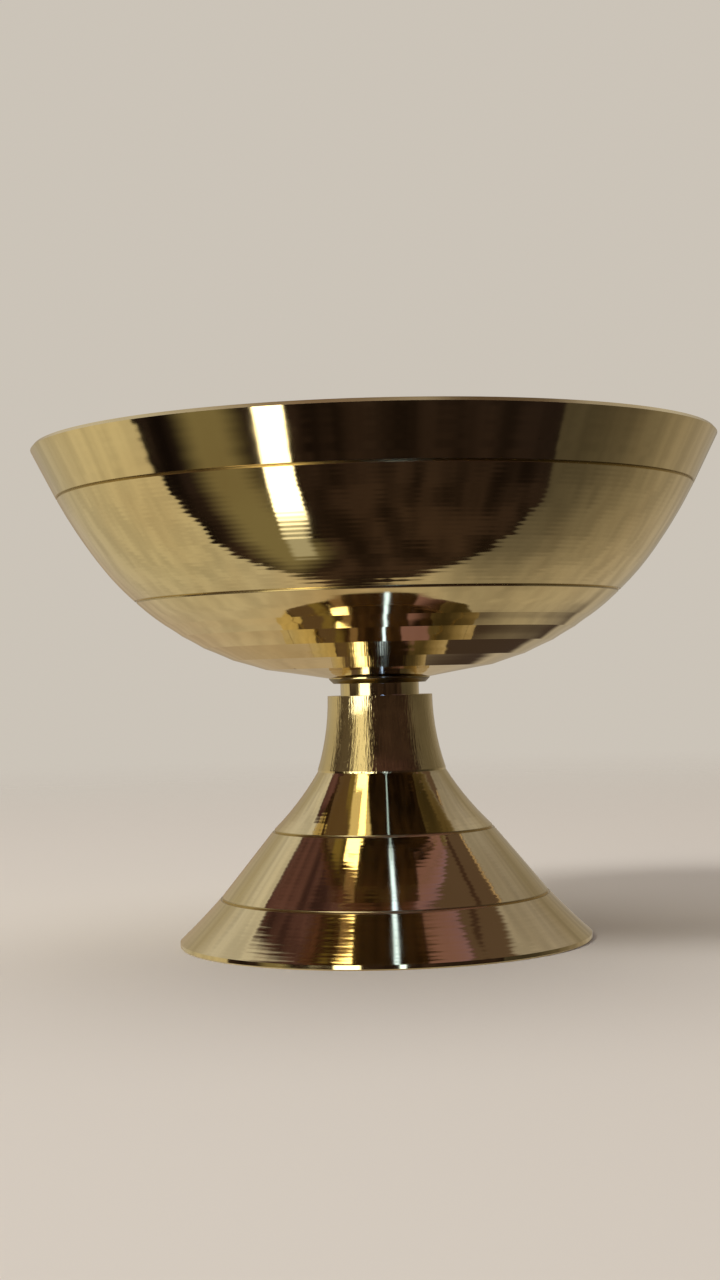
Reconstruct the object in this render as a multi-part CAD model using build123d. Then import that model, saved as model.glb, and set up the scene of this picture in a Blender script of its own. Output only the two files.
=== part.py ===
"""Butter lamp: a turned brass cup that screws onto a hollow flared foot, with a cotton wick.

Millimetres, +Z up. The lamp stands on its foot at Z = 0 and every piece is turned about the Z axis.
Outlines are drawn in the XZ plane as points (radius, height).
"""

import os
from math import cos, floor, hypot, radians, tan

from build123d import *

# Foot: outside radii, and heights above the table
foot_height = 25.15
foot_radius = 21.1
foot_top_radius = 5.4
hem_height = 0.5
hem_chamfer = 0.12
hem_hollow = 0.06
low_groove_height = 4.8
low_groove_radius = 16.8
high_groove_height = 11.5
high_groove_radius = 11.3
flare_hollow = 0.24
ridge_height = 17.4
ridge_radius = 6.6
ridge_land = 0.2
neck_hollow = 0.3
foot_wall = 2.4

# Neck collar: the plain ring between foot and cup
collar_height = 1.25
collar_radius = 4.05
collar_clearance = 0.08

# Cup: outside radii, and heights above the underside of its boss
cup_height = 24.6
rim_radius = 35.0
rim_width = 1.5
lip_height = 0.35
lip_width = 0.3
boss_radius = 5.2
boss_height = 0.55
boss_chamfer = 0.45
belly_flatness = 0.26
belly_power = 2.57
terrace_edges = [0.33, 0.5, 0.65, 0.765, 0.85]
terrace_hollow = 0.025
belly_swell = 0.07
shoulder_radius = 24.8
shoulder_height = 8.83
lower_swell = 0.145
knee_radius = 28.6
knee_height = 13.1
upper_swell = 0.13
wall_groove_radius = 32.55
wall_groove_height = 19.4
cup_wall = 1.9
floor_height = 5.4
floor_radius = 14.0

# Incised grooves of cup and foot
groove_width = 0.3
groove_depth = 0.22

# Stud and its screw thread
thread_radius = 3.0
thread_pitch = 1.0
thread_depth = 0.6
thread_crest = 0.12
thread_flank = 30.0
thread_clearance = 0.12
thread_turns = 8
thread_relief = 0.8
thread_sink = 0.1
tapped_crest_gap = 0.2
tap_margin = 0.5
stud_tip = 0.5
spigot_radius = 2.2
spigot_length = 2.1
spigot_clearance = 0.03

# Wick: a splint in a socket in the cup's floor, with cotton rolled round it
stick_radius = 0.8
stick_length = 17.0
socket_depth = 2.2
socket_clearance = 0.1
cotton_lift = 0.6
cotton_radius = 2.5
cotton_swell_height = 3.0
cotton_hem = 0.6
cotton_bow = 0.4
cotton_draw = 0.5
cotton_tip_radius = 1.1
cotton_tip_height = 1.8
cotton_tip_bow = 0.15
cotton_point_radius = 0.3
cotton_clearance = 0.05

# Heights of the stacked pieces
cup_base = foot_height + collar_height
floor_level = cup_base + floor_height
socket_level = floor_level - socket_depth


def bowed(start, end, bow):
    """Arc between two outline points, whose middle stands off the chord: outwards if bow > 0."""
    across, up = end[0] - start[0], end[1] - start[1]
    length = hypot(across, up)
    side = 1 if up > 0 else -1
    middle = (
        (start[0] + end[0]) / 2 + side * bow * up / length,
        (start[1] + end[1]) / 2 - side * bow * across / length,
    )
    return ThreePointArc(start, middle, end)


def v_groove(at, before, after):
    """Lower edge, bottom and upper edge of a groove, cut square to the outline's run."""
    across, up = after[0] - before[0], after[1] - before[1]
    length = hypot(across, up)
    along = (across / length * groove_width / 2, up / length * groove_width / 2)
    inward = (-up / length * groove_depth, across / length * groove_depth)
    return (
        (at[0] - along[0], at[1] - along[1]),
        (at[0] + inward[0], at[1] + inward[1]),
        (at[0] + along[0], at[1] + along[1]),
    )


def turned(lines):
    """Solid of revolution about Z of a closed outline."""
    return revolve(Plane.XZ * make_face(lines), Axis.Z, 360)


def rod(radius, bottom, top):
    """Round bar about Z between two heights."""
    return Pos(0, 0, (bottom + top) / 2) * Cylinder(radius, top - bottom)


def helical_bar(inner_radius, root_half, outer_radius, tip_half, bottom, turns):
    """Trapezoid bar wound about Z: half widths at its inner and outer radius, and its first centre."""
    path = Pos(0, 0, bottom) * Helix(thread_pitch, turns * thread_pitch, inner_radius)
    section = Polyline(
        (inner_radius, bottom - root_half),
        (outer_radius, bottom - tip_half),
        (outer_radius, bottom + tip_half),
        (inner_radius, bottom + root_half),
        close=True,
    )
    return sweep(Plane.XZ * make_face(section), path, is_frenet=True)


def bar_half(radius, spare=0.0):
    """Half the width of the thread's bar at a radius, widened by a clearance on each flank."""
    lean = radians(thread_flank)
    return thread_crest / 2 + (thread_radius - radius) * tan(lean) + spare / cos(lean)


def gap_half(radius):
    """Half the room between two turns of the thread's bar at a radius, less the clearance."""
    return thread_pitch / 2 - bar_half(radius, thread_clearance)


# Screw: the stud's core, and the height of the middle of its thread's first turn
core_radius = thread_radius - thread_depth
tapped_root = thread_radius + thread_clearance
first_turn = foot_height - thread_relief - thread_turns * thread_pitch


def foot():
    """Hollow flared pedestal, tapped down its middle for the stud."""
    base_edge = (foot_radius - hem_chamfer, 0)
    hem_start = (foot_radius, hem_chamfer)
    hem_edge = (foot_radius, hem_height)
    low = (low_groove_radius, low_groove_height)
    high = (high_groove_radius, high_groove_height)
    ridge = (ridge_radius, ridge_height)
    ridge_top = (ridge_radius, ridge_height + ridge_land)
    top_edge = (foot_top_radius, foot_height)
    hem_end, low_bottom, belt_start = v_groove(low, hem_edge, high)
    belt_end, high_bottom, flare_start = v_groove(high, low, ridge)
    hollow_mouth = (foot_radius - foot_wall, 0)
    hollow_bend = (low_groove_radius - foot_wall, low_groove_height)
    hollow_top = (high_groove_radius - foot_wall, high_groove_height)
    hollow_middle = (0, high_groove_height)
    outline = [
        Polyline(base_edge, hem_start, hem_edge),
        bowed(hem_edge, hem_end, -hem_hollow),
        Polyline(hem_end, low_bottom, belt_start, belt_end, high_bottom, flare_start),
        bowed(flare_start, ridge, -flare_hollow),
        Line(ridge, ridge_top),
        bowed(ridge_top, top_edge, -neck_hollow),
        Polyline(top_edge, (0, foot_height), hollow_middle, hollow_top, hollow_bend, hollow_mouth, base_edge),
    ]
    bore = rod(tapped_root, high_groove_height, foot_height)
    return turned(outline) - bore + tapped_thread()


def tapped_thread():
    """The foot's screw thread: a bar that fills the stud's gaps, apart from the clearance."""
    middle = first_turn + thread_pitch / 2
    turns_below = floor((middle - high_groove_height - tap_margin) / thread_pitch)
    start = middle - turns_below * thread_pitch
    turns = floor((foot_height - tap_margin - start) / thread_pitch)
    crest = core_radius + tapped_crest_gap
    root = tapped_root + thread_sink
    return helical_bar(crest, gap_half(crest), root, gap_half(root), start, turns)


def neck_collar():
    """Plain ring that shows between the foot and the cup's boss."""
    hole = rod(thread_radius + collar_clearance, foot_height, cup_base)
    return rod(collar_radius, foot_height, cup_base) - hole


def belly_point(share):
    """Point of the cup's belly, by its share of the way out from the boss to the shoulder."""
    rise = belly_flatness * share + (1 - belly_flatness) * share**belly_power
    return (
        boss_radius + share * (shoulder_radius - boss_radius),
        boss_height + rise * (shoulder_height - boss_height),
    )


def cup_inside(rim_inside):
    """Outline of the hollow, from the rim's inner edge down the wall to the middle of the floor."""
    groove_inside = (wall_groove_radius - cup_wall, wall_groove_height)
    knee_inside = (knee_radius - cup_wall, knee_height)
    wall_inside = (shoulder_radius - cup_wall, shoulder_height)
    floor_edge = (floor_radius, floor_height)
    return [
        Line(rim_inside, groove_inside),
        bowed(groove_inside, knee_inside, upper_swell),
        bowed(knee_inside, wall_inside, lower_swell),
        TangentArc(floor_edge, wall_inside, tangent=(1, 0)),
        Line(floor_edge, (0, floor_height)),
    ]


def cup():
    """Turned bowl: boss, belly in shallow hollow bands, shoulder groove, wall groove and bevelled lip."""
    shoulder = (shoulder_radius, shoulder_height)
    knee = (knee_radius, knee_height)
    wall_groove = (wall_groove_radius, wall_groove_height)
    lip_outside = (rim_radius, cup_height - lip_height)
    lip_top = (rim_radius - lip_width, cup_height)
    rim_inside = (rim_radius - rim_width, cup_height)
    edges = [belly_point(share) for share in [0.0, *terrace_edges]]
    belly_end, shoulder_bottom, wall_start = v_groove(shoulder, edges[-1], knee)
    wall_end, groove_bottom, rim_start = v_groove(wall_groove, knee, lip_outside)
    boss_low = (boss_radius - boss_chamfer, 0)
    boss_side = (boss_radius, boss_chamfer)
    outline = [
        Polyline((0, floor_height), (0, 0), boss_low, boss_side, edges[0]),
        *[bowed(edge, above, -terrace_hollow) for edge, above in zip(edges, edges[1:])],
        bowed(edges[-1], belly_end, belly_swell),
        Polyline(belly_end, shoulder_bottom, wall_start),
        bowed(wall_start, knee, lower_swell),
        bowed(knee, wall_end, upper_swell),
        Polyline(wall_end, groove_bottom, rim_start, lip_outside, lip_top, rim_inside),
        *cup_inside(rim_inside),
    ]
    seat = rod(spigot_radius + spigot_clearance, cup_base, cup_base + spigot_length)
    socket = rod(stick_radius + socket_clearance, socket_level, floor_level)
    return Pos(0, 0, cup_base) * turned(outline) - seat - socket


def stem_stud():
    """Stud fixed in the boss by its spigot: a plain shank in the collar, then the screw."""
    spigot = rod(spigot_radius, cup_base, cup_base + spigot_length)
    shank = rod(thread_radius, foot_height, cup_base)
    stud_end = first_turn - bar_half(core_radius) - stud_tip
    core = rod(core_radius, stud_end, foot_height)
    root = core_radius - thread_sink
    crest_half = bar_half(thread_radius)
    thread = helical_bar(root, bar_half(root), thread_radius, crest_half, first_turn, thread_turns)
    return spigot + shank + core + thread


def wick_stick():
    """Thin wooden splint that stands in the socket in the cup's floor."""
    return rod(stick_radius, socket_level, socket_level + stick_length)


def wick_cotton():
    """Cotton rolled round the splint, thick near its foot and drawn to a point above its end."""
    hole_radius = stick_radius + cotton_clearance
    bottom = floor_level + cotton_lift
    stick_top = socket_level + stick_length
    hole_top = stick_top + cotton_clearance
    swell = (cotton_radius, bottom + cotton_swell_height)
    tip_edge = (cotton_tip_radius, stick_top)
    point_edge = (cotton_point_radius, stick_top + cotton_tip_height)
    foot_edge = (hole_radius + cotton_hem, bottom)
    outline = [
        Polyline((0, hole_top), (hole_radius, hole_top), (hole_radius, bottom), foot_edge),
        bowed(foot_edge, swell, cotton_bow),
        bowed(swell, tip_edge, -cotton_draw),
        bowed(tip_edge, point_edge, cotton_tip_bow),
        Polyline(point_edge, (0, point_edge[1]), (0, hole_top)),
    ]
    return turned(outline)


os.makedirs("parts", exist_ok=True)
for piece in (foot, neck_collar, cup, stem_stud, wick_stick, wick_cotton):
    export_step(piece(), f"parts/{piece.__name__}.step")
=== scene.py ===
"""Looks of the brass butter lamp: turned brass, a wooden splint and cotton, in a pale studio.

Metres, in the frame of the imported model: +Z up, the lamp's axis on Z and its foot on Z = 0.
"""

from math import cos, pi, radians, sin, sqrt
from random import Random

import bpy
from mathutils import Matrix, Vector, noise


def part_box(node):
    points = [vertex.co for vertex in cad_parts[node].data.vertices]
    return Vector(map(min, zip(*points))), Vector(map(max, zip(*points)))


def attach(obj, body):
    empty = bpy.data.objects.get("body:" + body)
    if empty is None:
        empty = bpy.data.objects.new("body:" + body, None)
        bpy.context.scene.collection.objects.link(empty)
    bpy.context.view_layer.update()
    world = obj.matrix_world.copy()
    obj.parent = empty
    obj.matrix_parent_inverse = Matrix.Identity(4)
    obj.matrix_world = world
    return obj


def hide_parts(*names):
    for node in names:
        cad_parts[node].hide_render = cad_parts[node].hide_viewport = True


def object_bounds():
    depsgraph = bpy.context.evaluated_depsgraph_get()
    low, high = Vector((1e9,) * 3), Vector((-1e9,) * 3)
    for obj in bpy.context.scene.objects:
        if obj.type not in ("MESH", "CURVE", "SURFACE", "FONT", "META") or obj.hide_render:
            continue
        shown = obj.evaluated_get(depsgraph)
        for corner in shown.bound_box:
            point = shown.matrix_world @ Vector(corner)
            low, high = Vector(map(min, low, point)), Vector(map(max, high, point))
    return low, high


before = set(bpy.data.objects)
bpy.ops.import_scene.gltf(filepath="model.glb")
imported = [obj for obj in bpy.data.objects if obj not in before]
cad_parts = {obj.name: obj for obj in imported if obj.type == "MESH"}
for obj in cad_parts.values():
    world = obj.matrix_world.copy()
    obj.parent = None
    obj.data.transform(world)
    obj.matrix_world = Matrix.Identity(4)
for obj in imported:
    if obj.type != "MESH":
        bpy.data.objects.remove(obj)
cad_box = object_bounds()

# Photograph: its frame in pixels, and the camera that a fit to the rim, the grooves and the base edge gives
PHOTO_SIZE = (720, 1280)
FOCAL_PIXELS = 1940.7
SENSOR_MILLIMETRES = 36.0
CAMERA_PLACE = (-0.0019, -0.2003, 0.0275)
CAMERA_PITCH = radians(0.96)
CAMERA_ROLL = radians(-1.5)
CAMERA_CLIP = (0.01, 20.0)

# Studio: the colour behind the lamp, and the floor, which fades into it between two distances
PALE = (0.60, 0.55, 0.48)
FLOOR_COLOUR = (0.74, 0.69, 0.62)
FLOOR_ROUGHNESS = 0.9
FLOOR_RADIUS = 1.5
FLOOR_CORNERS = 96
FLOOR_FADE = (0.10, 0.45)

# Lamps: place, size and power of each, aimed at the middle of the object
LAMPS = {
    "key": ((-0.55, -0.40, 0.75), 0.30, 5.0),
    "overhead": ((0.0, 0.15, 1.20), 1.20, 4.5),
}

# Below, four numbers for a smooth step are the two inputs that it runs between and the values there.
# Noise stays mostly within this span
NOISE_SPAN = (0.3, 0.7)

# Room that the brass mirrors: a pale backdrop behind an edge, which comes forward by each slope past a
# place on an axis. The edge is ragged below and softer above
BACKDROP_EDGE = 0.02
BACKDROP_SLOPES = [("z", -0.30, -0.5), ("z", 1.5, 0.695), ("x", 0.17, -0.1), ("x", 2.0, 0.72)]
RAG_SIZE = 0.05
RAG_DEPTH = 0.05
RAG_BY_HEIGHT = (0.70, 0.40, 0.25, 1.0)
EDGE_SOFTNESS = (0.60, 0.72, 0.012, 0.022)

# Backdrop: its colours from left to right, the light on it by height, its uneven tone, and the dusk low on
# its right, which lifts towards the back
BACKDROP = [
    (-0.95, (0.59, 0.52, 0.38)),
    (-0.60, (0.48, 0.435, 0.345)),
    (-0.42, (0.50, 0.445, 0.36)),
    (-0.20, (0.44, 0.345, 0.235)),
    (0.25, (0.40, 0.35, 0.28)),
    (0.60, (0.30, 0.26, 0.21)),
    (0.95, (0.14, 0.118, 0.088)),
]
BACKDROP_LIGHT = [
    (-0.25, (1.0, 1.0, 1.0)),
    (0.15, (0.80, 0.80, 0.80)),
    (0.35, (0.80, 0.80, 0.80)),
    (0.52, (1.08, 1.15, 1.46)),
]
TONE_SIZE = 0.09
TONE = (0.87, 1.10)
DUSK_RIGHT = (0.2, 0.5)
DUSK_LOW = (0.1, -0.1)
DUSK_LIGHT = (-0.15, 0.60, 0.35, 1.22)

# Dark front of the room, by height, with its uneven gloom, and the soft light over the backdrop
FRONT = [
    (-0.90, (0.028, 0.017, 0.013)),
    (-0.60, (0.012, 0.008, 0.008)),
    (-0.30, (0.013, 0.008, 0.007)),
    (0.05, (0.030, 0.018, 0.014)),
    (0.40, (0.036, 0.021, 0.017)),
    (0.62, (0.070, 0.034, 0.036)),
]
GLOOM_SIZE = 0.16
GLOOM = (0.5, 1.7)
OVERHEAD_SIDE = (0.0, 0.70, 0.714)
OVERHEAD_EDGE = (0.80, 0.90)
OVERHEAD = (0.62, 0.58, 0.52)

# Cards and lights in that room: both ends as (degrees to the right of the camera's side, height),
# half the width, the softness of its sides and of its ends, the mirror that shows it (0 for any, 1 for
# the first and 2 for brass seen in brass), and the colour
CARDS = {
    "shade": ((167, -0.38), (160, -0.85), 0.28, 0.22, 0.08, 0, (0.050, 0.034, 0.028)),
    "olive": ((-64, 0.20), (-66, -0.93), 0.22, 0.17, 0.10, 0, (0.20, 0.17, 0.095)),
    "right shade": ((92, 0.55), (92, 0.97), 0.29, 0.05, 0.06, 1, (0.10, 0.067, 0.053)),
    "right edge": ((96, 0.755), (101.5, 0.865), 0.035, 0.025, 0.03, 1, (0.050, 0.028, 0.022)),
    "right glint": ((112, 0.655), (112, 0.695), 0.010, 0.005, 0.02, 1, (0.52, 0.38, 0.24)),
    "left brown": ((-82, 0.25), (-82, -0.70), 0.25, 0.05, 0.06, 2, (0.117, 0.087, 0.083)),
    "neck side": ((-78, 0.02), (-78, 0.55), 0.32, 0.10, 0.06, 1, (0.10, 0.078, 0.057)),
    "flare light": ((-45, -0.30), (-45, -0.78), 0.26, 0.06, 0.10, 2, (0.80, 0.78, 0.75)),
    "low glow": ((-46, -0.80), (-60, -0.93), 0.075, 0.04, 0.04, 1, (0.42, 0.40, 0.33)),
    "low light": ((-36, -0.45), (-46, -0.82), 0.085, 0.02, 0.12, 0, (4.0, 3.8, 3.3)),
    "tall light": ((-44, -0.45), (-42, 0.02), 0.18, 0.04, 0.03, 2, (4.5, 4.3, 4.0)),
    "collar light": ((-46, -0.10), (-46, 0.10), 0.30, 0.05, 0.04, 1, (3.0, 2.9, 2.5)),
    "neck light": ((-42, 0.12), (-42, 0.62), 0.28, 0.08, 0.05, 1, (0.95, 0.85, 0.60)),
    "belt light": ((-40, 0.06), (-40, 0.50), 0.13, 0.06, 0.06, 2, (0.22, 0.16, 0.15)),
    "base light": ((-22, -0.50), (-22, -0.11), 0.14, 0.04, 0.02, 1, (4.0, 3.8, 3.3)),
    "base glint": ((8, -0.40), (8, -0.11), 0.04, 0.02, 0.02, 1, (1.5, 2.0, 3.0)),
    "glow": ((58, 0.80), (58, 0.15), 0.38, 0.06, 0.12, 2, (0.24, 0.155, 0.30)),
    "cool light": ((9, 0.60), (8.5, -0.25), 0.058, 0.04, 0.12, 2, (1.4, 2.4, 7.5)),
    "cool streak": ((8.5, -0.20), (9, -0.80), 0.028, 0.02, 0.10, 2, (0.5, 0.9, 2.6)),
}

# Ray depth at the room of what one mirror shows is 2, and of what two mirrors show is 3
SECOND_MIRROR = 2.5

# Brass: its reflectance, the darker tone of old handling, and the colour of dirt in its grooves and pits,
# also used as painted shade round the cup's boss
BRASS = (0.87, 0.72, 0.385)
BRASS_WORN = (0.66, 0.47, 0.22)
DIRT_AND_SHADE = (0.055, 0.033, 0.014)

# Relief of the brass by noise: the size of its blobs, its depth and its detail
TURNING_LINES = (0.00010, 0.0000005, 2)
TURNING_WAVES = (0.0022, 0.000012, 1)
POLISHING = (0.009, 0.000016, 1)
NECK_BRUSHING = (0.00022, 0.000035, 3)
FOOT_SCRATCHES = (0.00022, 0.0000014, 3)
COLLAR_BRUSHING = (0.00012, 0.000006, 3)
THREAD_GRAIN = (0.0002, 0.000004, 2)

# Surfaces laid flat for streaks: the radius that the turn counts at, and the share of the run that counts
WIPED = (0.03, 0.3)
NICKED = (0.004, 1.0)
NECK_BRUSHED = (0.006, 0.12)
FOOT_SCRATCHED = (0.002, 1.0)
COLLAR_BRUSHED = (0.004, 0.04)

# Rings of the turning tool, their pitch and depth, and the size of the uneven stretches inside the cup
CUP_FEED = (0.00066, 0.0000007)
FOOT_FEED = (0.00066, 0.0000004)
INSIDE_RINGS = (0.0011, 0.000004)
INSIDE_UNEVEN = 0.0015

# Wear of the brass: sizes of its patches, the noise where they start and are full, and how far they show
SMEAR_SIZE = 0.0028
SMEAR_SPAN = (0.48, 0.75)
SMEAR_TONE = 0.12
SMEAR_ROUGHNESS = 0.025
WORN_SIZE = 0.012
WORN_SPAN = (0.45, 0.75)
WORN_TONE = 0.25
POLISH_SIZE = 0.006
POLISH_ROUGHNESS = (0.35, 0.75, 0.035, 0.075)
PITS = {"spacing": 0.0045, "size": 0.00022, "share": 0.2}
PIT_ROUGHNESS = 0.3
NICKS = {"spacing": 0.0021, "size": 0.00010, "share": 0.06}
SPECK_CORE = 0.4

# How much duller than the polish some places are, and how dirty others; the cup's share also paints shade
# round its boss
INSIDE_DULL = 0.14
NECK_DULL = 0.04
HOLLOW_DULL = 0.25
COLLAR_DULL = 0.03
THREAD_DULL = 0.12
CUP_DIRT_AND_SHADE = 0.8
FOOT_DIRT = 0.85
THREAD_DIRT = 0.35

# Heights of the turned grooves and of the foot's ridge, which bound the bands of tool marks and dirt, of
# the side of the cup's boss, below which shade is painted, and half of a groove's width
SHOULDER_GROOVE = 0.03523
WALL_GROOVE = 0.0458
HIGH_GROOVE = 0.0115
LOW_GROOVE = 0.0048
BOSS_SIDE = 0.02685
FOOT_RIDGE = 0.0174
GROOVE_REACH = 0.00010

# Radius outside which all brass is turned, and the radius at the root of the stud's thread
TURNED_RADIUS = 0.0035
THREAD_ROOT = 0.0026

# Softness of those bounds, and the slopes of the normal that tell the cup's inside and the foot's hollow
WALL_SOFTNESS = 0.0002
BOSS_SOFTNESS = 0.0001
RIDGE_SOFTNESS = 0.0003
ROOT_SOFTNESS = 0.0002
FACING_UP = (0.05, 0.2)
FACING_DOWN = (-0.05, -0.2)

# Wood of the splint: its two colours, and the grain that is drawn out along it
WOOD = (0.66, 0.47, 0.27)
WOOD_GRAIN = (0.43, 0.27, 0.13)
GRAIN_STRETCH = 0.05
GRAIN_SIZE = 0.00022
GRAIN_DEPTH = 0.00006
GRAIN_TONES = (0.35, 0.68)
GRAIN_ROUGHNESS = (0.3, 0.7, 0.72, 0.5)

# Cotton: its colour and the grey of its painted shade, fibres drawn out along the slant of its twist, and
# clumps
COTTON = (0.86, 0.83, 0.76)
COTTON_SHADE = (0.66, 0.60, 0.50)
COTTON_TONES = (0.35, 0.6)
COTTON_ROUGHNESS = 0.95
COTTON_SPECULAR = 0.2
COTTON_SHEEN = 0.3
TWIST_RADIUS = 0.002
TWIST_SLANT = -0.35
FIBRE_STRETCH = 0.12
FIBRE_SIZE = 0.00012
FIBRE_DEPTH = 0.00012
FIBRE_SHARE = 0.6
CLUMP_SIZE = 0.0009

# Roll of cotton: the grid of its mesh, its strands and their turns, and the gap round the splint
WICK_ROWS = 150
WICK_COLUMNS = 160
WICK_STRANDS = 4
WICK_TURNS = 2.2
WICK_SEED = 5
BORE_GAP = 0.00003

# Outline of the roll: shares of its height, then shares of its radius at hem, swell, neck and point, and
# how far the stretches between them bow
SWELL_AT = 0.19
NECK_AT = 0.8875
HEM_SHARE = 0.58
SWELL_SHARE = 0.98
NECK_SHARE = 0.44
POINT_SHARE = 0.10
DRAWN_IN = -0.75
POINT_BOW = 0.22

# Surface of the roll, in shares of its radius: valleys between strands, yarns in a strand, and uneven
# wadding and fuzz, each by its scale round the roll, its scale along it and its depth
MEAN_SHARE = 0.92
LEAST_RADIUS = 0.00012
VALLEY_DEPTH = 0.15
VALLEY_SHARPNESS = 3
STRAND_YARNS = 6
YARN_DEPTH = 0.014
WADDING = (2.2, 9, 0.045)
FUZZ = (11, 60, 0.025)

# Loose fibres: three-sided, tapering tubes. Each lies on the roll from a share of its height for a length,
# also a share, and lifts off it at the end
FIBRE_RADIUS = 0.000024
FIBRE_SIDES = 3
FIBRE_TAPER = 0.6
FIBRE_ASIDE = Vector((0.3, 0.5, 0.81))
WICK_FIBRES = 420
FIBRE_STEPS = 6
FIBRE_START = (0.02, 0.80)
FIBRE_LENGTH = (0.06, 0.16)
FIBRE_LIFT = (0.00004, 0.0005)
FIBRE_TWIST = (0.6, 1.6)
FIBRE_SINK = 0.00003

# Tuft of fibres at the point: where it starts, as a share of the height, and its lean, length and bend
WICK_TUFT = 30
TUFT_STEPS = 4
TUFT_START = 0.985
TUFT_LEAN = (0.0, 0.5)
TUFT_LENGTH = (0.0005, 0.0014)
TUFT_BEND = 0.25


class Graph:
    """Short calls that build a shader's node tree. A socket given as a value is linked."""

    def __init__(self, owner):
        owner.use_nodes = True
        self.tree = owner.node_tree

    def feed(self, socket, value):
        if isinstance(value, bpy.types.NodeSocket):
            self.tree.links.new(value, socket)
        else:
            socket.default_value = value

    def node(self, kind, inputs=None, **settings):
        node = self.tree.nodes.new("ShaderNode" + kind)
        for name, value in settings.items():
            setattr(node, name, value)
        for name, value in (inputs or {}).items():
            self.feed(node.inputs[name], value)
        return node

    def math(self, operation, *values):
        node = self.node("Math", operation=operation)
        for socket, value in zip(node.inputs, values):
            self.feed(socket, value)
        return node.outputs[0]

    def product(self, *factors):
        total = factors[0]
        for factor in factors[1:]:
            total = self.math("MULTIPLY", total, factor)
        return total

    def sum(self, *terms):
        total = terms[0]
        for term in terms[1:]:
            total = self.math("ADD", total, term)
        return total

    def inverse(self, share):
        """What is left of 1."""
        return self.math("SUBTRACT", 1.0, share)

    def dot(self, vector, axis):
        return self.node("VectorMath", {0: vector, 1: axis}, operation="DOT_PRODUCT").outputs["Value"]

    def split(self, vector):
        return self.node("SeparateXYZ", {"Vector": vector}).outputs

    def join(self, x, y, z):
        return self.node("CombineXYZ", {"X": x, "Y": y, "Z": z}).outputs[0]

    def step(self, value, low, high, from_value=0.0, to_value=1.0):
        """Smooth change from one value to another as the input goes from low to high."""
        ends = {"From Min": low, "From Max": high, "To Min": from_value, "To Max": to_value}
        return self.node("MapRange", {"Value": value, **ends}, interpolation_type="SMOOTHSTEP").outputs[0]

    def between(self, value, low, high, soft):
        """1 from low to high, and 0 outside them, with edges as soft as that."""
        return self.product(self.step(value, low - soft, low), self.step(value, high + soft, high))

    def mix(self, share, first, second, blend_type="MIX"):
        """Mix of two colours, each a socket or three numbers."""
        node = self.node("Mix", {0: share}, data_type="RGBA", blend_type=blend_type)
        for index, colour in ((6, first), (7, second)):
            self.feed(node.inputs[index], (*colour, 1) if isinstance(colour, tuple) else colour)
        return node.outputs[2]

    def tint(self, colour, light):
        return self.mix(1.0, colour, light, "MULTIPLY")

    def noise(self, place, size, detail):
        """Noise from 0 to 1, whose blobs are about that size: along a line if place is a number."""
        inputs = {"Scale": 1 / size, "Detail": detail}
        if place.type == "VALUE":
            return self.node("TexNoise", {"W": place, **inputs}, noise_dimensions="1D").outputs[0]
        return self.node("TexNoise", {"Vector": place, **inputs}).outputs[0]

    def relief(self, place, size, depth, detail):
        """Height of noise with blobs of that size, up to that depth."""
        return self.product(self.noise(place, size, detail), depth)

    def bump(self, height, **normal):
        """Normal of a surface with that relief, in metres."""
        return self.node("Bump", {"Height": height, "Distance": 1.0, **normal}).outputs[0]

    def ramp(self, share, stops):
        node = self.node("ValToRGB", {"Fac": share})
        elements = node.color_ramp.elements
        while len(elements) < len(stops):
            elements.new(0.5)
        for element, (position, colour) in zip(elements, stops):
            element.position = position
            element.color = (*colour, 1)
        return node.outputs[0]

    def spread(self, value, stops):
        """Colours at places along a value that goes from -1 to 1."""
        share = self.math("MULTIPLY_ADD", value, 0.5, 0.5)
        return self.ramp(share, [((place + 1) / 2, colour) for place, colour in stops])


def new_material(name):
    material = bpy.data.materials.new(name)
    graph = Graph(material)
    return material, graph, graph.tree.nodes["Principled BSDF"].inputs


def make_camera():
    data = bpy.data.cameras.new("photo_camera")
    data.sensor_width = SENSOR_MILLIMETRES
    data.lens = FOCAL_PIXELS * SENSOR_MILLIMETRES / max(PHOTO_SIZE)
    data.clip_start, data.clip_end = CAMERA_CLIP
    camera = bpy.data.objects.new("photo_camera", data)
    bpy.context.scene.collection.objects.link(camera)
    turn = Matrix.Rotation(radians(90) + CAMERA_PITCH, 4, "X") @ Matrix.Rotation(CAMERA_ROLL, 4, "Z")
    camera.matrix_world = Matrix.Translation(CAMERA_PLACE) @ turn
    bpy.context.scene.camera = camera


def make_floor():
    """Pale disc that fades out away from the lamp. The brass mirrors the room instead of it."""
    bpy.ops.mesh.primitive_circle_add(vertices=FLOOR_CORNERS, radius=FLOOR_RADIUS, fill_type="NGON")
    floor = bpy.context.object
    floor.name = "floor"
    floor.visible_glossy = False
    material, graph, shader = new_material("floor")
    shader["Base Color"].default_value = (*FLOOR_COLOUR, 1)
    shader["Roughness"].default_value = FLOOR_ROUGHNESS
    shader["Specular IOR Level"].default_value = 0.0
    place = graph.node("TexCoord").outputs["Object"]
    distance = graph.node("VectorMath", {0: place}, operation="LENGTH").outputs["Value"]
    fade = graph.node("MixShader", {0: graph.step(distance, *FLOOR_FADE)})
    graph.feed(fade.inputs[1], graph.tree.nodes["Principled BSDF"].outputs[0])
    graph.feed(fade.inputs[2], graph.node("BsdfTransparent").outputs[0])
    graph.feed(graph.tree.nodes["Material Output"].inputs["Surface"], fade.outputs[0])
    floor.data.materials.append(material)


def make_lamps():
    target = (Vector(cad_box[0]) + Vector(cad_box[1])) / 2
    for name, (place, size, power) in LAMPS.items():
        data = bpy.data.lights.new(name, "AREA")
        data.size = size
        data.energy = power
        lamp = bpy.data.objects.new(name, data)
        lamp.location = place
        lamp.rotation_euler = (target - Vector(place)).to_track_quat("-Z", "Y").to_euler()
        lamp.visible_glossy = False
        bpy.context.scene.collection.objects.link(lamp)


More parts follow.
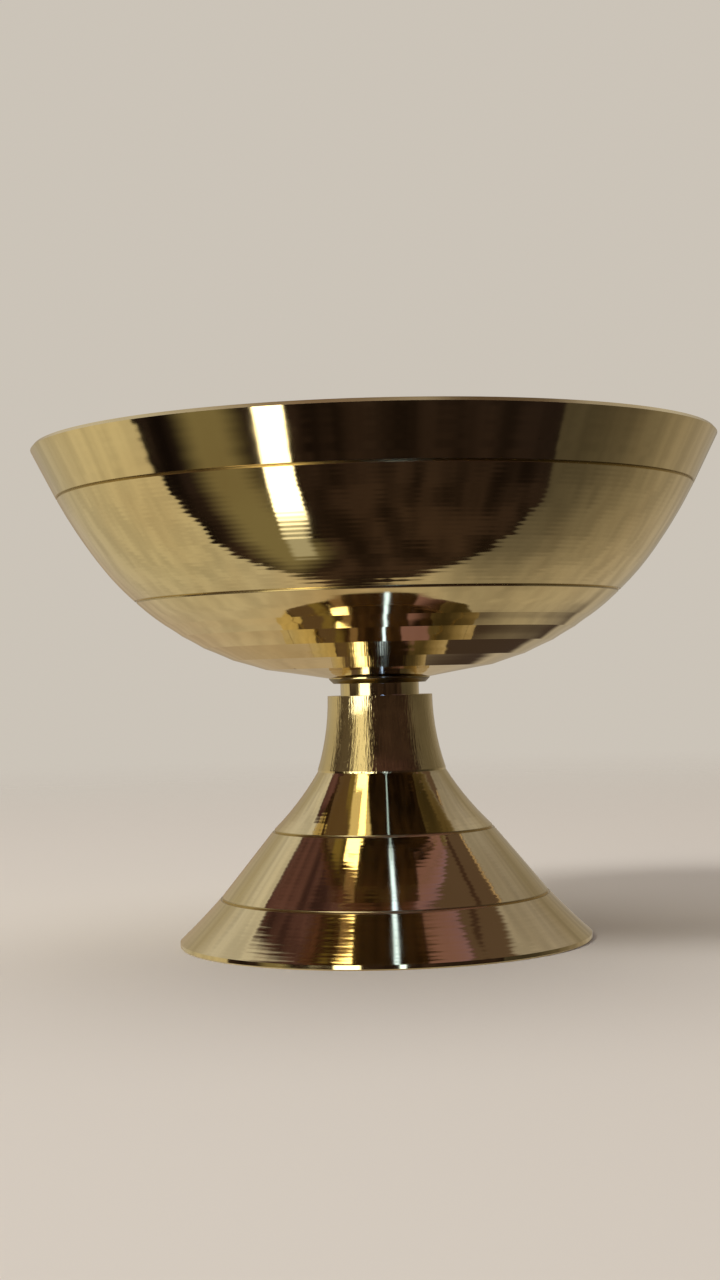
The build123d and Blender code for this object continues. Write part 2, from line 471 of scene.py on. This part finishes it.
def backdrop_share(graph, direction):
    """1 behind the backdrop's edge, and 0 in front of it."""
    axes = dict(zip("xyz", graph.split(direction)))
    behind = axes["y"]
    for axis, slope, start in BACKDROP_SLOPES:
        past = graph.math("MAXIMUM", graph.math("SUBTRACT", axes[axis], start), 0.0)
        behind = graph.math("MULTIPLY_ADD", past, slope, behind)
    rag = graph.relief(direction, RAG_SIZE, RAG_DEPTH, detail=3)
    rag = graph.math("SUBTRACT", rag, RAG_DEPTH / 2)
    behind = graph.math("MULTIPLY_ADD", rag, graph.step(axes["z"], *RAG_BY_HEIGHT), behind)
    soft = graph.step(axes["z"], *EDGE_SOFTNESS)
    low = graph.math("SUBTRACT", BACKDROP_EDGE, soft)
    high = graph.math("ADD", BACKDROP_EDGE, soft)
    return graph.step(behind, low, high)


def backdrop_colour(graph, direction):
    x, y, z = graph.split(direction)
    tone = graph.step(graph.noise(direction, TONE_SIZE, detail=4), *NOISE_SPAN, *TONE)
    dusk_place = graph.product(graph.step(x, *DUSK_RIGHT), graph.step(z, *DUSK_LOW))
    dusk = graph.math("SUBTRACT", graph.step(y, *DUSK_LIGHT), 1.0)
    light = graph.product(tone, graph.math("MULTIPLY_ADD", dusk_place, dusk, 1.0))
    return graph.tint(graph.tint(graph.spread(x, BACKDROP), graph.spread(z, BACKDROP_LIGHT)), light)


def front_colour(graph, direction):
    gloom = graph.step(graph.noise(direction, GLOOM_SIZE, detail=3), *NOISE_SPAN, *GLOOM)
    return graph.tint(graph.spread(graph.split(direction)[2], FRONT), gloom)


def bearing(azimuth, height):
    """Unit direction by its degrees to the right of the camera's side, and its height."""
    level = sqrt(1 - height**2)
    return Vector((level * sin(radians(azimuth)), -level * cos(radians(azimuth)), height))


def card(graph, direction, start, end, half_width, side_softness, end_softness):
    """1 inside a straight card between two directions, and 0 outside it."""
    start, end = bearing(*start), bearing(*end)
    side = start.cross(end).normalized()
    run = (end - start).normalized()
    across = graph.math("ABSOLUTE", graph.dot(direction, side))
    width = graph.step(across, half_width, half_width - side_softness)
    length = graph.between(graph.dot(direction, run), start.dot(run), end.dot(run), end_softness)
    facing = graph.math("GREATER_THAN", graph.dot(direction, (start + end).normalized()), 0.0)
    return graph.product(width, length, facing)


def make_world():
    """The room that the brass mirrors. The camera itself sees only the pale colour."""
    world = bpy.data.worlds.new("studio")
    bpy.context.scene.world = world
    graph = Graph(world)
    direction = graph.node("TexCoord").outputs["Generated"]
    room = graph.mix(
        backdrop_share(graph, direction),
        front_colour(graph, direction),
        backdrop_colour(graph, direction),
    )
    room = graph.mix(graph.step(graph.dot(direction, OVERHEAD_SIDE), *OVERHEAD_EDGE), room, OVERHEAD)
    light_path = graph.node("LightPath").outputs
    second = graph.math("GREATER_THAN", light_path["Ray Depth"], SECOND_MIRROR)
    shown = [1.0, graph.inverse(second), second]
    for *shape, mirror, colour in CARDS.values():
        room = graph.mix(graph.product(card(graph, direction, *shape), shown[mirror]), room, colour)
    seen = graph.mix(light_path["Is Camera Ray"], room, PALE)
    graph.feed(graph.tree.nodes["Background"].inputs["Color"], seen)


class Lathe:
    """Places on a turned piece: its object coordinates, radius, turn, run along the outline and normal."""

    def __init__(self, graph, lean):
        """lean: 1 where the radius grows upwards, and -1 where it shrinks."""
        self.graph = graph
        coordinates = graph.node("TexCoord").outputs
        self.place = coordinates["Object"]
        x, y, self.height = graph.split(self.place)
        self.radius = graph.math("SQRT", graph.sum(graph.product(x, x), graph.product(y, y)))
        self.turn = graph.math("ARCTAN2", y, x)
        self.along = graph.math("MULTIPLY_ADD", self.radius, lean, self.height)
        self.facing_up = graph.split(coordinates["Normal"])[2]
        self.normal = self.turned_normal(coordinates["Normal"], x, y)

    def turned_normal(self, normal, x, y):
        """The normal, turned into the plane of the axis wherever the brass is turned and not threaded."""
        graph = self.graph
        outward = graph.node("VectorMath", {0: graph.join(x, y, 0.0)}, operation="NORMALIZE").outputs[0]
        out_x, out_y, _ = graph.split(outward)
        reach = graph.dot(normal, outward)
        exact = graph.join(graph.product(out_x, reach), graph.product(out_y, reach), self.facing_up)
        turned = graph.math("GREATER_THAN", self.radius, TURNED_RADIUS)
        chosen = graph.node("Mix", {0: turned, 4: normal, 5: exact}, data_type="VECTOR").outputs[1]
        world = graph.node("VectorTransform", {"Vector": chosen}, vector_type="NORMAL")
        world.convert_from = "OBJECT"
        world.convert_to = "WORLD"
        return world.outputs[0]

    def flat(self, run, radius, share):
        """Place on the surface laid flat, as if it all had that radius, by a share of its run."""
        return self.graph.join(self.graph.product(self.turn, radius), 0.0, self.graph.product(run, share))

    def groove(self, height):
        """1 in the incised groove at a height."""
        low, high = height - GROOVE_REACH, height + GROOVE_REACH
        return self.graph.between(self.height, low, high, GROOVE_REACH / 2)

    def rings(self, pitch, depth):
        """Regular rings that the turning tool left."""
        wave = self.graph.math("SINE", self.graph.product(self.along, 2 * pi / pitch))
        return self.graph.product(wave, depth)


def specks(graph, place, spacing, size, share):
    """Small round spots, of at most that size, in that share of the cells of a scattered grid."""
    cells = graph.node("TexVoronoi", {"Vector": place, "Scale": 1 / spacing}).outputs
    dot = graph.step(cells["Distance"], size / spacing, SPECK_CORE * size / spacing)
    chosen = graph.math("LESS_THAN", graph.split(cells["Color"])[0], share)
    return graph.product(dot, chosen)


def brass(name, lean, tool_marks):
    """Polished brass with turning lines, wiped smears, pits, and the tool marks, dirt and painted shade of
    one piece.
    """
    material, graph, shader = new_material(name)
    lathe = Lathe(graph, lean)
    marks, dull, dirt_and_shade = tool_marks(graph, lathe)
    height = graph.sum(
        graph.relief(lathe.along, *TURNING_LINES),
        graph.relief(lathe.along, *TURNING_WAVES),
        graph.relief(lathe.place, *POLISHING),
        marks,
    )
    graph.feed(shader["Normal"], graph.bump(height, Normal=lathe.normal))
    smear = graph.step(graph.noise(lathe.flat(lathe.along, *WIPED), SMEAR_SIZE, detail=3), *SMEAR_SPAN)
    worn = graph.step(graph.noise(lathe.place, WORN_SIZE, detail=4), *WORN_SPAN)
    tone = graph.sum(graph.product(worn, WORN_TONE), graph.product(smear, SMEAR_TONE))
    # Pits, dirt and any painted shade of the piece darken the colour and roughen it
    pits_dirt_and_shade = graph.math("MAXIMUM", specks(graph, lathe.place, **PITS), dirt_and_shade)
    nicks = specks(graph, lathe.flat(lathe.along, *NICKED), **NICKS)
    colour = graph.mix(tone, BRASS, BRASS_WORN)
    graph.feed(shader["Base Color"], graph.mix(graph.math("MAXIMUM", pits_dirt_and_shade, nicks), colour, DIRT_AND_SHADE))
    shader["Metallic"].default_value = 1
    rough = graph.sum(
        graph.step(graph.noise(lathe.place, POLISH_SIZE, detail=4), *POLISH_ROUGHNESS),
        graph.product(smear, SMEAR_ROUGHNESS),
        dull,
        graph.product(pits_dirt_and_shade, PIT_ROUGHNESS),
    )
    graph.feed(shader["Roughness"], rough)
    return material


def cup_marks(graph, lathe):
    """Cup: a fine feed on the wall, dull broad rings inside, dirt in the grooves, and painted shade round
    the boss.
    """
    wall = graph.between(lathe.height, SHOULDER_GROOVE, WALL_GROOVE, WALL_SOFTNESS)
    inside = graph.step(lathe.facing_up, *FACING_UP)
    uneven = graph.noise(lathe.along, INSIDE_UNEVEN, detail=2)
    height = graph.sum(
        graph.product(lathe.rings(*CUP_FEED), wall),
        graph.product(lathe.rings(*INSIDE_RINGS), uneven, inside),
    )
    grooves = graph.sum(lathe.groove(SHOULDER_GROOVE), lathe.groove(WALL_GROOVE))
    # Painted shade: below the side of its boss the cup outside takes the dirt colour, as if shaded by the
    # foot
    painted_boss_shade = graph.step(lathe.height, BOSS_SIDE + BOSS_SOFTNESS, BOSS_SIDE)
    dirt_and_shade = graph.product(graph.math("MAXIMUM", grooves, painted_boss_shade), graph.inverse(inside), CUP_DIRT_AND_SHADE)
    return height, graph.product(inside, INSIDE_DULL), dirt_and_shade


def foot_marks(graph, lathe):
    """Foot: upright brushing on its neck, feed and level scratches below, dirty grooves, a rough hollow."""
    neck = graph.step(lathe.height, FOOT_RIDGE - RIDGE_SOFTNESS, FOOT_RIDGE + RIDGE_SOFTNESS)
    below = graph.inverse(neck)
    hollow = graph.step(lathe.facing_up, *FACING_DOWN)
    height = graph.sum(
        graph.product(graph.relief(lathe.flat(lathe.height, *NECK_BRUSHED), *NECK_BRUSHING), neck),
        graph.product(graph.relief(lathe.flat(lathe.along, *FOOT_SCRATCHED), *FOOT_SCRATCHES), below),
        graph.product(lathe.rings(*FOOT_FEED), below),
    )
    dull = graph.sum(graph.product(neck, NECK_DULL), graph.product(hollow, HOLLOW_DULL))
    grooves = graph.sum(lathe.groove(LOW_GROOVE), lathe.groove(HIGH_GROOVE))
    return height, dull, graph.product(grooves, graph.inverse(hollow), FOOT_DIRT)


def collar_marks(graph, lathe):
    """Collar: upright brushing all round, and no dirt of its own."""
    return graph.relief(lathe.flat(lathe.height, *COLLAR_BRUSHED), *COLLAR_BRUSHING), COLLAR_DULL, 0.0


def stud_marks(graph, lathe):
    """Stud: a cut thread, duller than the turned pieces and dirty at its root."""
    root = graph.step(lathe.radius, THREAD_ROOT + ROOT_SOFTNESS, THREAD_ROOT)
    return graph.relief(lathe.place, *THREAD_GRAIN), THREAD_DULL, graph.product(root, THREAD_DIRT)


def splint_wood():
    """Pale split wood with a straight grain."""
    material, graph, shader = new_material("splint_wood")
    x, y, z = graph.split(graph.node("TexCoord").outputs["Object"])
    grain = graph.noise(graph.join(x, y, graph.product(z, GRAIN_STRETCH)), GRAIN_SIZE, detail=4)
    graph.feed(shader["Base Color"], graph.mix(graph.step(grain, *GRAIN_TONES), WOOD_GRAIN, WOOD))
    graph.feed(shader["Roughness"], graph.step(grain, *GRAIN_ROUGHNESS))
    graph.feed(shader["Normal"], graph.bump(graph.product(grain, GRAIN_DEPTH)))
    return material


def wick_cotton():
    """Soft white cotton, with painted shade in the hollows of its fibres and greyer clumps, and fibres
    along its twist.
    """
    material, graph, shader = new_material("wick_cotton")
    place = graph.node("TexCoord").outputs["Object"]
    x, y, z = graph.split(place)
    slant = graph.product(z, TWIST_SLANT)
    turn = graph.math("MULTIPLY_ADD", graph.math("ARCTAN2", y, x), TWIST_RADIUS, slant)
    fibre = graph.noise(graph.join(turn, 0.0, graph.product(z, FIBRE_STRETCH)), FIBRE_SIZE, detail=4)
    clump = graph.product(graph.noise(place, CLUMP_SIZE, detail=3), 1 - FIBRE_SHARE)
    # Painted shade: where the fibres' bump relief is low the cotton turns grey, and clumps shift the tone
    # at random
    shade = graph.step(graph.math("MULTIPLY_ADD", fibre, FIBRE_SHARE, clump), *COTTON_TONES)
    graph.feed(shader["Base Color"], graph.mix(shade, COTTON_SHADE, COTTON))
    shader["Roughness"].default_value = COTTON_ROUGHNESS
    shader["Specular IOR Level"].default_value = COTTON_SPECULAR
    shader["Sheen Weight"].default_value = COTTON_SHEEN
    graph.feed(shader["Normal"], graph.bump(graph.product(fibre, FIBRE_DEPTH)))
    return material


def bowed(first, last, part, bow):
    """Value on the way from one to another, with that bow between them."""
    return first + (last - first) * part + bow * part * (1 - part)


def lumps(across, share, round_scale, long_scale, depth):
    """Uneven depth round a roll and along it."""
    return depth * noise.noise(across * round_scale + Vector((0, 0, share * long_scale)))


class WickMesh:
    """Mesh of the cotton: a twisted roll with a bore for the splint, and loose fibres on it."""

    def __init__(self):
        low, high = (Vector(corner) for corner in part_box("wick_cotton"))
        stick_low, stick_high = (Vector(corner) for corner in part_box("wick_stick"))
        self.bottom, self.top = low.z, high.z
        self.radius = (high.x - low.x) / 2
        self.bore = (stick_high.x - stick_low.x) / 2 + BORE_GAP
        self.bore_top = stick_high.z + BORE_GAP
        self.vertices = []
        self.faces = []
        self.random = Random(WICK_SEED)

    def outline(self, share):
        """Radius by the share of the height: swelling from the hem, drawn in, then a blunt point."""
        if share < SWELL_AT:
            return self.radius * (HEM_SHARE + (SWELL_SHARE - HEM_SHARE) * sin(pi / 2 * share / SWELL_AT))
        if share < NECK_AT:
            part = (share - SWELL_AT) / (NECK_AT - SWELL_AT)
            return self.radius * bowed(SWELL_SHARE, NECK_SHARE, part, DRAWN_IN)
        part = (share - NECK_AT) / (1 - NECK_AT)
        return self.radius * bowed(NECK_SHARE, POINT_SHARE, part, POINT_BOW)

    def surface(self, turn, share):
        """Point on the roll: strands wound round it, uneven as wadding is."""
        strand = WICK_STRANDS * (turn - 2 * pi * WICK_TURNS * share)
        valley = VALLEY_DEPTH * (1 - abs(cos(strand / 2))) ** VALLEY_SHARPNESS
        yarn = YARN_DEPTH * sin(STRAND_YARNS * strand)
        across = Vector((cos(turn), sin(turn), 0))
        uneven = lumps(across, share, *WADDING) + lumps(across, share, *FUZZ)
        radius = self.outline(share) * (MEAN_SHARE - valley + yarn + uneven)
        height = self.bottom + share * (self.top - self.bottom)
        return across * max(radius, LEAST_RADIUS) + Vector((0, 0, height))

    def ring(self, points):
        first = len(self.vertices)
        self.vertices.extend(points)
        return list(range(first, len(self.vertices)))

    def make_tube(self, rings):
        """Quads between neighbouring rings, and a face at each end."""
        for lower, upper in zip(rings, rings[1:]):
            for index in range(len(lower)):
                after = (index + 1) % len(lower)
                self.faces.append((lower[index], lower[after], upper[after], upper[index]))
        self.faces.append(tuple(reversed(rings[0])))
        self.faces.append(tuple(rings[-1]))

    def make_roll(self):
        """The bore from its top down, then the surface from the hem up."""
        turns = [2 * pi * column / WICK_COLUMNS for column in range(WICK_COLUMNS)]
        bore = [Vector((cos(turn), sin(turn), 0)) * self.bore for turn in turns]
        rings = []
        for height in (self.bore_top, self.bottom):
            rings.append(self.ring([point + Vector((0, 0, height)) for point in bore]))
        for row in range(WICK_ROWS + 1):
            rings.append(self.ring([self.surface(turn, row / WICK_ROWS) for turn in turns]))
        self.make_tube(rings)

    def make_fibre(self, points):
        """Thin tube that tapers along its points."""
        corners = [2 * pi * corner / FIBRE_SIDES for corner in range(FIBRE_SIDES)]
        last = len(points) - 1
        rings = []
        for index, point in enumerate(points):
            run = (points[min(index + 1, last)] - points[max(index - 1, 0)]).normalized()
            side = run.cross(FIBRE_ASIDE).normalized()
            other = run.cross(side)
            radius = FIBRE_RADIUS * (1 - FIBRE_TAPER * index / last)
            sides = [side * cos(turn) + other * sin(turn) for turn in corners]
            rings.append(self.ring([point + outward * radius for outward in sides]))
        self.make_tube(rings)

    def make_lying_fibre(self):
        """Fibre that lies along the twist and lifts off it."""
        share = self.random.uniform(*FIBRE_START)
        turn = self.random.uniform(0, 2 * pi)
        length = self.random.uniform(*FIBRE_LENGTH)
        lift = self.random.uniform(*FIBRE_LIFT)
        twist = 2 * pi * WICK_TURNS * self.random.uniform(*FIBRE_TWIST)
        points = []
        for step in range(FIBRE_STEPS + 1):
            part = step / FIBRE_STEPS
            point = self.surface(turn + twist * length * part, share + length * part)
            out = Vector((point.x, point.y, 0)).normalized()
            points.append(point + out * (lift * part**2 - FIBRE_SINK))
        self.make_fibre(points)

    def make_tuft_fibre(self):
        """Fibre that stands up from the point and bends aside."""
        turn = self.random.uniform(0, 2 * pi)
        lean = self.random.uniform(*TUFT_LEAN)
        length = self.random.uniform(*TUFT_LENGTH)
        start = self.surface(turn, TUFT_START)
        out = Vector((cos(turn), sin(turn), 0)) * lean + Vector((0, 0, 1))
        bend = Vector((self.random.uniform(-1, 1), self.random.uniform(-1, 1), 0)) * TUFT_BEND
        parts = [step / TUFT_STEPS for step in range(TUFT_STEPS + 1)]
        self.make_fibre([start + (out + bend * part) * length * part for part in parts])

    def make_fibres(self):
        for _ in range(WICK_FIBRES):
            self.make_lying_fibre()
        for _ in range(WICK_TUFT):
            self.make_tuft_fibre()


def make_wick():
    """The cotton that stands for the plain solid, riding on the wick."""
    wick = WickMesh()
    wick.make_roll()
    wick.make_fibres()
    mesh = bpy.data.meshes.new("cotton_roll")
    mesh.from_pydata([tuple(point) for point in wick.vertices], [], wick.faces)
    mesh.update()
    mesh.polygons.foreach_set("use_smooth", [True] * len(mesh.polygons))
    piece = bpy.data.objects.new("cotton_roll", mesh)
    bpy.context.scene.collection.objects.link(piece)
    mesh.materials.append(wick_cotton())
    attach(piece, "wick")
    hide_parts("wick_cotton")


make_camera()
make_floor()
make_lamps()
make_world()
finishes = {
    "foot": brass("foot_brass", -1, foot_marks),
    "neck_collar": brass("collar_brass", 1, collar_marks),
    "cup": brass("cup_brass", 1, cup_marks),
    "stem_stud": brass("stud_brass", 1, stud_marks),
    "wick_stick": splint_wood(),
}
for name, finish in finishes.items():
    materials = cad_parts[name].data.materials
    materials.clear()
    materials.append(finish)
make_wick()
bpy.context.scene.view_settings.view_transform = "Standard"
